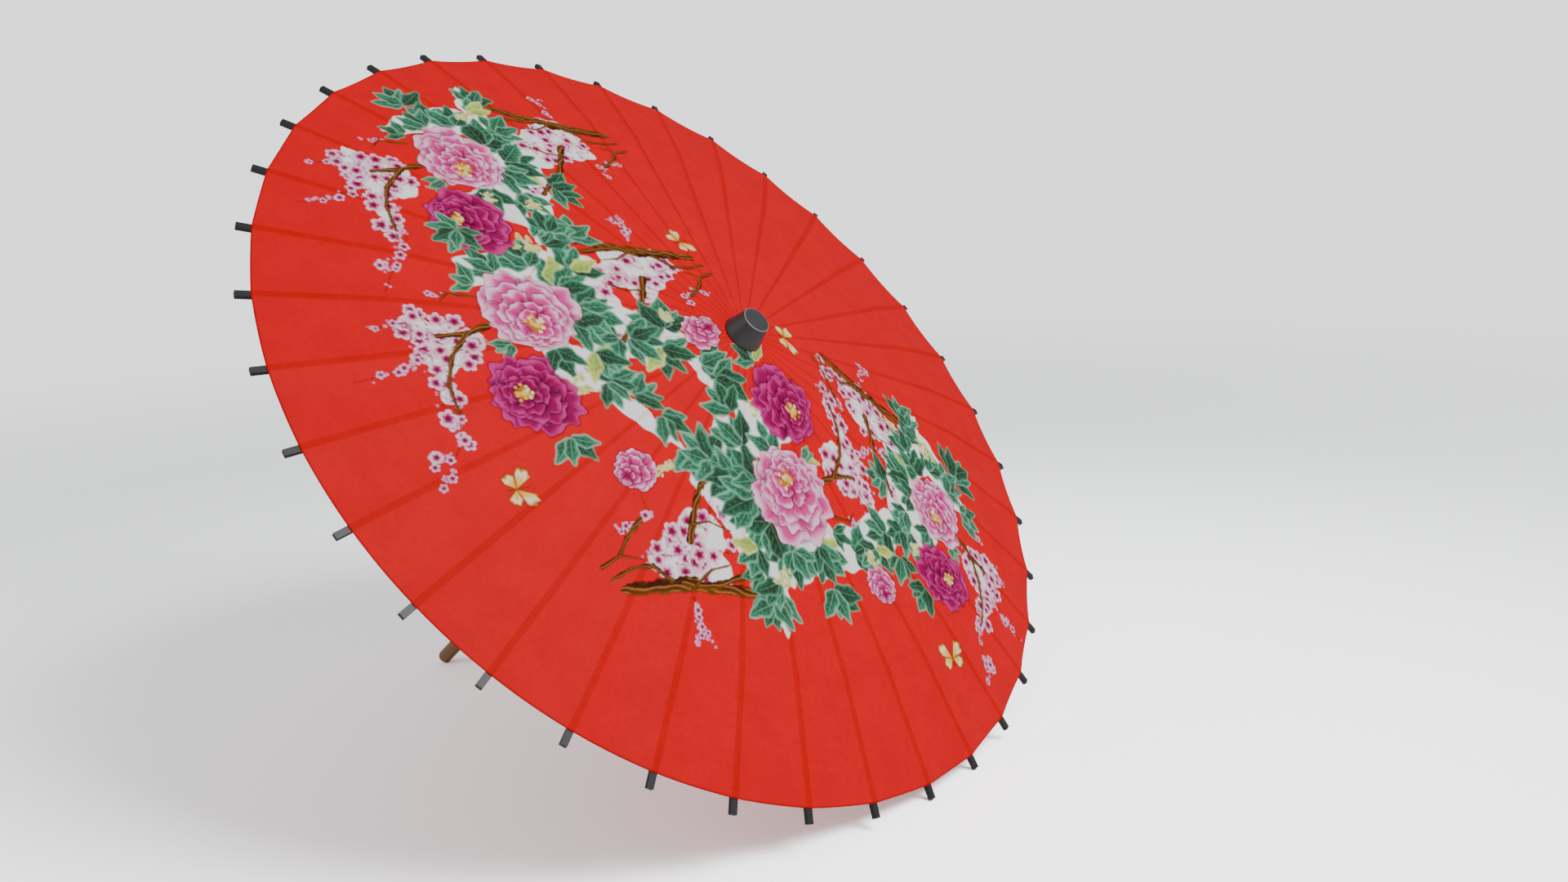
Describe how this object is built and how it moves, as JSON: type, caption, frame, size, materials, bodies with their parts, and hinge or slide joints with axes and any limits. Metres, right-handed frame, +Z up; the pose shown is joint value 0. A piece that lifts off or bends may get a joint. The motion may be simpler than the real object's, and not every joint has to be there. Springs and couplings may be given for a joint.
{
  "type": "oil paper umbrella",
  "caption": "Round paper umbrella with bamboo ribs and stretchers, a wooden pole, a sliding runner with a spring catch, and a conical cap, standing open on its side.",
  "frame": {"origin": "middle of the umbrella's box, on the floor that its two lowest rib ends and the end of its pole stand on", "axes": "+Z up from the floor, +X the way the cap leans, +Y across the canopy"},
  "size_m": [0.644, 0.8396, 0.638],
  "materials": {
    "pole_wood": "satin",
    "turned_wood": "satin",
    "bamboo_pin": "matte",
    "brass_wire": "satin",
    "cap_lacquer": "satin",
    "oiled_paper": "satin",
    "red_thread": "matte",
    "bare_bamboo": "satin",
    "green_thread": "matte",
    "rib_lacquer": "satin"
  },
  "bodies": {
    "frame": {"pole": "pole_wood", "top_hub": "turned_wood", "hub_nail": "bamboo_pin", "hub_wire": "brass_wire", "top_cap": "cap_lacquer", "canopy": "oiled_paper", "rim_thread": "red_thread", "latch_nail": "bamboo_pin"},
    "runner": {"runner": "turned_wood", "runner_wire": "brass_wire", "stretchers": "bare_bamboo", "stretcher_pins": "bamboo_pin", "stretcher_thread": "green_thread"},
    "latch": {"latch": "bamboo_pin"},
    "rib_01": {"rib_01": "rib_lacquer"},
    "rib_02": {"rib_02": "rib_lacquer"},
    "rib_03": {"rib_03": "rib_lacquer"},
    "rib_04": {"rib_04": "rib_lacquer"},
    "rib_05": {"rib_05": "rib_lacquer"},
    "rib_06": {"rib_06": "rib_lacquer"},
    "rib_07": {"rib_07": "rib_lacquer"},
    "rib_08": {"rib_08": "rib_lacquer"},
    "rib_09": {"rib_09": "rib_lacquer"},
    "rib_10": {"rib_10": "rib_lacquer"},
    "rib_11": {"rib_11": "rib_lacquer"},
    "rib_12": {"rib_12": "rib_lacquer"},
    "rib_13": {"rib_13": "rib_lacquer"},
    "rib_14": {"rib_14": "rib_lacquer"},
    "rib_15": {"rib_15": "rib_lacquer"},
    "rib_16": {"rib_16": "rib_lacquer"},
    "rib_17": {"rib_17": "rib_lacquer"},
    "rib_18": {"rib_18": "rib_lacquer"},
    "rib_19": {"rib_19": "rib_lacquer"},
    "rib_20": {"rib_20": "rib_lacquer"},
    "rib_21": {"rib_21": "rib_lacquer"},
    "rib_22": {"rib_22": "rib_lacquer"},
    "rib_23": {"rib_23": "rib_lacquer"},
    "rib_24": {"rib_24": "rib_lacquer"},
    "rib_25": {"rib_25": "rib_lacquer"},
    "rib_26": {"rib_26": "rib_lacquer"},
    "rib_27": {"rib_27": "rib_lacquer"},
    "rib_28": {"rib_28": "rib_lacquer"},
    "rib_29": {"rib_29": "rib_lacquer"},
    "rib_30": {"rib_30": "rib_lacquer"},
    "rib_31": {"rib_31": "rib_lacquer"},
    "rib_32": {"rib_32": "rib_lacquer"},
    "rib_33": {"rib_33": "rib_lacquer"},
    "rib_34": {"rib_34": "rib_lacquer"},
    "rib_35": {"rib_35": "rib_lacquer"},
    "rib_36": {"rib_36": "rib_lacquer"}
  },
  "joints": [
    {"name": "runner_slide", "type": "slide", "parent": "frame", "child": "runner", "axis": [-0.7578, 0, -0.6525], "range_m": [0, 0.241], "deforming": ["canopy", "rim_thread", "stretchers", "stretcher_pins", "stretcher_thread", "latch"]},
    {"name": "latch_press", "type": "hinge", "parent": "frame", "child": "latch", "pos_m": [-0.04364, 0, 0.24483], "axis": [0, 1, 0], "range_deg": [0, 5.5], "stiffness_Nm_per_rad": 0.6, "springref_deg": -2.29},
    {"name": "rib_01_hinge", "type": "hinge", "parent": "frame", "child": "rib_01", "pos_m": [0.12502, 0.00148, 0.36375], "axis": [-0.0569, 0.9962, 0.066], "range_deg": [0, 74.5]},
    {"name": "rib_02_hinge", "type": "hinge", "parent": "frame", "child": "rib_02", "pos_m": [0.12468, 0.0044, 0.36414], "axis": [-0.1689, 0.9659, 0.1961], "range_deg": [0, 74.5]},
    {"name": "rib_03_hinge", "type": "hinge", "parent": "frame", "child": "rib_03", "pos_m": [0.12402, 0.00718, 0.36491], "axis": [-0.2758, 0.9063, 0.3202], "range_deg": [0, 74.5]},
    {"name": "rib_04_hinge", "type": "hinge", "parent": "frame", "child": "rib_04", "pos_m": [0.12305, 0.00975, 0.36603], "axis": [-0.3743, 0.8192, 0.4346], "range_deg": [0, 74.5]},
    {"name": "rib_05_hinge", "type": "hinge", "parent": "frame", "child": "rib_05", "pos_m": [0.12181, 0.01202, 0.36748], "axis": [-0.4614, 0.7071, 0.5358], "range_deg": [0, 74.5]},
    {"name": "rib_06_hinge", "type": "hinge", "parent": "frame", "child": "rib_06", "pos_m": [0.12033, 0.01393, 0.3692], "axis": [-0.5345, 0.5736, 0.6207], "range_deg": [0, 74.5]},
    {"name": "rib_07_hinge", "type": "hinge", "parent": "frame", "child": "rib_07", "pos_m": [0.11865, 0.01541, 0.37114], "axis": [-0.5914, 0.4226, 0.6868], "range_deg": [0, 74.5]},
    {"name": "rib_08_hinge", "type": "hinge", "parent": "frame", "child": "rib_08", "pos_m": [0.11684, 0.01642, 0.37325], "axis": [-0.6303, 0.2588, 0.732], "range_deg": [0, 74.5]},
    {"name": "rib_09_hinge", "type": "hinge", "parent": "frame", "child": "rib_09", "pos_m": [0.11493, 0.01694, 0.37546], "axis": [-0.65, 0.0872, 0.7549], "range_deg": [0, 74.5]},
    {"name": "rib_10_hinge", "type": "hinge", "parent": "frame", "child": "rib_10", "pos_m": [0.113, 0.01694, 0.37771], "axis": [-0.65, -0.0872, 0.7549], "range_deg": [0, 74.5]},
    {"name": "rib_11_hinge", "type": "hinge", "parent": "frame", "child": "rib_11", "pos_m": [0.11109, 0.01642, 0.37992], "axis": [-0.6303, -0.2588, 0.732], "range_deg": [0, 74.5]},
    {"name": "rib_12_hinge", "type": "hinge", "parent": "frame", "child": "rib_12", "pos_m": [0.10928, 0.01541, 0.38203], "axis": [-0.5914, -0.4226, 0.6868], "range_deg": [0, 74.5]},
    {"name": "rib_13_hinge", "type": "hinge", "parent": "frame", "child": "rib_13", "pos_m": [0.1076, 0.01393, 0.38398], "axis": [-0.5345, -0.5736, 0.6207], "range_deg": [0, 74.5]},
    {"name": "rib_14_hinge", "type": "hinge", "parent": "frame", "child": "rib_14", "pos_m": [0.10612, 0.01202, 0.3857], "axis": [-0.4614, -0.7071, 0.5358], "range_deg": [0, 74.5]},
    {"name": "rib_15_hinge", "type": "hinge", "parent": "frame", "child": "rib_15", "pos_m": [0.10488, 0.00975, 0.38714], "axis": [-0.3743, -0.8192, 0.4346], "range_deg": [0, 74.5]},
    {"name": "rib_16_hinge", "type": "hinge", "parent": "frame", "child": "rib_16", "pos_m": [0.10391, 0.00718, 0.38826], "axis": [-0.2758, -0.9063, 0.3202], "range_deg": [0, 74.5]},
    {"name": "rib_17_hinge", "type": "hinge", "parent": "frame", "child": "rib_17", "pos_m": [0.10325, 0.0044, 0.38903], "axis": [-0.1689, -0.9659, 0.1961], "range_deg": [0, 74.5]},
    {"name": "rib_18_hinge", "type": "hinge", "parent": "frame", "child": "rib_18", "pos_m": [0.10291, 0.00148, 0.38942], "axis": [-0.0569, -0.9962, 0.066], "range_deg": [0, 74.5]},
    {"name": "rib_19_hinge", "type": "hinge", "parent": "frame", "child": "rib_19", "pos_m": [0.10291, -0.00148, 0.38942], "axis": [0.0569, -0.9962, -0.066], "range_deg": [0, 74.5]},
    {"name": "rib_20_hinge", "type": "hinge", "parent": "frame", "child": "rib_20", "pos_m": [0.10325, -0.0044, 0.38903], "axis": [0.1689, -0.9659, -0.1961], "range_deg": [0, 74.5]},
    {"name": "rib_21_hinge", "type": "hinge", "parent": "frame", "child": "rib_21", "pos_m": [0.10391, -0.00718, 0.38826], "axis": [0.2758, -0.9063, -0.3202], "range_deg": [0, 74.5]},
    {"name": "rib_22_hinge", "type": "hinge", "parent": "frame", "child": "rib_22", "pos_m": [0.10488, -0.00975, 0.38714], "axis": [0.3743, -0.8192, -0.4346], "range_deg": [0, 74.5]},
    {"name": "rib_23_hinge", "type": "hinge", "parent": "frame", "child": "rib_23", "pos_m": [0.10612, -0.01202, 0.3857], "axis": [0.4614, -0.7071, -0.5358], "range_deg": [0, 74.5]},
    {"name": "rib_24_hinge", "type": "hinge", "parent": "frame", "child": "rib_24", "pos_m": [0.1076, -0.01393, 0.38398], "axis": [0.5345, -0.5736, -0.6207], "range_deg": [0, 74.5]},
    {"name": "rib_25_hinge", "type": "hinge", "parent": "frame", "child": "rib_25", "pos_m": [0.10928, -0.01541, 0.38203], "axis": [0.5914, -0.4226, -0.6868], "range_deg": [0, 74.5]},
    {"name": "rib_26_hinge", "type": "hinge", "parent": "frame", "child": "rib_26", "pos_m": [0.11109, -0.01642, 0.37992], "axis": [0.6303, -0.2588, -0.732], "range_deg": [0, 74.5]},
    {"name": "rib_27_hinge", "type": "hinge", "parent": "frame", "child": "rib_27", "pos_m": [0.113, -0.01694, 0.37771], "axis": [0.65, -0.0872, -0.7549], "range_deg": [0, 74.5]},
    {"name": "rib_28_hinge", "type": "hinge", "parent": "frame", "child": "rib_28", "pos_m": [0.11493, -0.01694, 0.37546], "axis": [0.65, 0.0872, -0.7549], "range_deg": [0, 74.5]},
    {"name": "rib_29_hinge", "type": "hinge", "parent": "frame", "child": "rib_29", "pos_m": [0.11684, -0.01642, 0.37325], "axis": [0.6303, 0.2588, -0.732], "range_deg": [0, 74.5]},
    {"name": "rib_30_hinge", "type": "hinge", "parent": "frame", "child": "rib_30", "pos_m": [0.11865, -0.01541, 0.37114], "axis": [0.5914, 0.4226, -0.6868], "range_deg": [0, 74.5]},
    {"name": "rib_31_hinge", "type": "hinge", "parent": "frame", "child": "rib_31", "pos_m": [0.12033, -0.01393, 0.3692], "axis": [0.5345, 0.5736, -0.6207], "range_deg": [0, 74.5]},
    {"name": "rib_32_hinge", "type": "hinge", "parent": "frame", "child": "rib_32", "pos_m": [0.12181, -0.01202, 0.36748], "axis": [0.4614, 0.7071, -0.5358], "range_deg": [0, 74.5]},
    {"name": "rib_33_hinge", "type": "hinge", "parent": "frame", "child": "rib_33", "pos_m": [0.12305, -0.00975, 0.36603], "axis": [0.3743, 0.8192, -0.4346], "range_deg": [0, 74.5]},
    {"name": "rib_34_hinge", "type": "hinge", "parent": "frame", "child": "rib_34", "pos_m": [0.12402, -0.00718, 0.36491], "axis": [0.2758, 0.9063, -0.3202], "range_deg": [0, 74.5]},
    {"name": "rib_35_hinge", "type": "hinge", "parent": "frame", "child": "rib_35", "pos_m": [0.12468, -0.0044, 0.36414], "axis": [0.1689, 0.9659, -0.1961], "range_deg": [0, 74.5]},
    {"name": "rib_36_hinge", "type": "hinge", "parent": "frame", "child": "rib_36", "pos_m": [0.12502, -0.00148, 0.36375], "axis": [0.0569, 0.9962, -0.066], "range_deg": [0, 74.5]}
  ],
  "couplings": [
    {"joint": "rib_01_hinge", "follows": "runner_slide", "rad_per_m": 5.3953},
    {"joint": "rib_02_hinge", "follows": "runner_slide", "rad_per_m": 5.3953},
    {"joint": "rib_03_hinge", "follows": "runner_slide", "rad_per_m": 5.3953},
    {"joint": "rib_04_hinge", "follows": "runner_slide", "rad_per_m": 5.3953},
    {"joint": "rib_05_hinge", "follows": "runner_slide", "rad_per_m": 5.3953},
    {"joint": "rib_06_hinge", "follows": "runner_slide", "rad_per_m": 5.3953},
    {"joint": "rib_07_hinge", "follows": "runner_slide", "rad_per_m": 5.3953},
    {"joint": "rib_08_hinge", "follows": "runner_slide", "rad_per_m": 5.3953},
    {"joint": "rib_09_hinge", "follows": "runner_slide", "rad_per_m": 5.3953},
    {"joint": "rib_10_hinge", "follows": "runner_slide", "rad_per_m": 5.3953},
    {"joint": "rib_11_hinge", "follows": "runner_slide", "rad_per_m": 5.3953},
    {"joint": "rib_12_hinge", "follows": "runner_slide", "rad_per_m": 5.3953},
    {"joint": "rib_13_hinge", "follows": "runner_slide", "rad_per_m": 5.3953},
    {"joint": "rib_14_hinge", "follows": "runner_slide", "rad_per_m": 5.3953},
    {"joint": "rib_15_hinge", "follows": "runner_slide", "rad_per_m": 5.3953},
    {"joint": "rib_16_hinge", "follows": "runner_slide", "rad_per_m": 5.3953},
    {"joint": "rib_17_hinge", "follows": "runner_slide", "rad_per_m": 5.3953},
    {"joint": "rib_18_hinge", "follows": "runner_slide", "rad_per_m": 5.3953},
    {"joint": "rib_19_hinge", "follows": "runner_slide", "rad_per_m": 5.3953},
    {"joint": "rib_20_hinge", "follows": "runner_slide", "rad_per_m": 5.3953},
    {"joint": "rib_21_hinge", "follows": "runner_slide", "rad_per_m": 5.3953},
    {"joint": "rib_22_hinge", "follows": "runner_slide", "rad_per_m": 5.3953},
    {"joint": "rib_23_hinge", "follows": "runner_slide", "rad_per_m": 5.3953},
    {"joint": "rib_24_hinge", "follows": "runner_slide", "rad_per_m": 5.3953},
    {"joint": "rib_25_hinge", "follows": "runner_slide", "rad_per_m": 5.3953},
    {"joint": "rib_26_hinge", "follows": "runner_slide", "rad_per_m": 5.3953},
    {"joint": "rib_27_hinge", "follows": "runner_slide", "rad_per_m": 5.3953},
    {"joint": "rib_28_hinge", "follows": "runner_slide", "rad_per_m": 5.3953},
    {"joint": "rib_29_hinge", "follows": "runner_slide", "rad_per_m": 5.3953},
    {"joint": "rib_30_hinge", "follows": "runner_slide", "rad_per_m": 5.3953},
    {"joint": "rib_31_hinge", "follows": "runner_slide", "rad_per_m": 5.3953},
    {"joint": "rib_32_hinge", "follows": "runner_slide", "rad_per_m": 5.3953},
    {"joint": "rib_33_hinge", "follows": "runner_slide", "rad_per_m": 5.3953},
    {"joint": "rib_34_hinge", "follows": "runner_slide", "rad_per_m": 5.3953},
    {"joint": "rib_35_hinge", "follows": "runner_slide", "rad_per_m": 5.3953},
    {"joint": "rib_36_hinge", "follows": "runner_slide", "rad_per_m": 5.3953}
  ]
}
